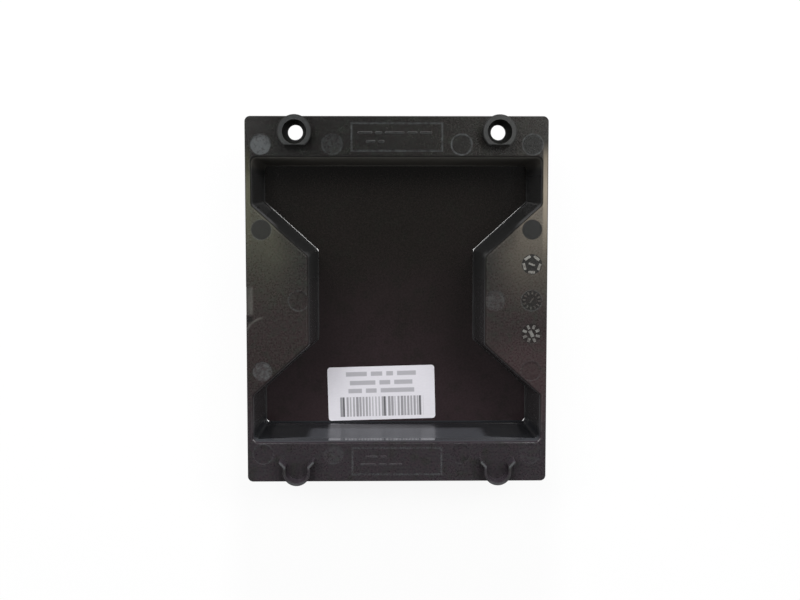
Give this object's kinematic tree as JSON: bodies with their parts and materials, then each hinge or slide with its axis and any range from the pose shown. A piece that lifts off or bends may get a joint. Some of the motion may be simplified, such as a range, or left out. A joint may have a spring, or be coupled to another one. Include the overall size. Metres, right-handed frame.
{
  "type": "processor socket blank",
  "caption": "Black moulded hourglass tub with a flange, screw bosses and flared post seats, which fills the place of an absent processor and its heat sink; a paper label lies on its floor.",
  "frame": {"origin": "middle of the tub's closed face, which lies on the table", "axes": "+Z out of the open side, +Y along the plate towards the screw bosses, +X across the plate towards the date dials"},
  "size_m": [0.0838, 0.1024, 0.0292],
  "materials": {
    "black_plastic": "fine matt texture on the flange, smoother satin on the recess walls",
    "label_paper": "white coated paper with plain grey print"
  },
  "bodies": {
    "root": {"blank_body": "black_plastic", "label": "label_paper"}
  },
  "joints": []
}
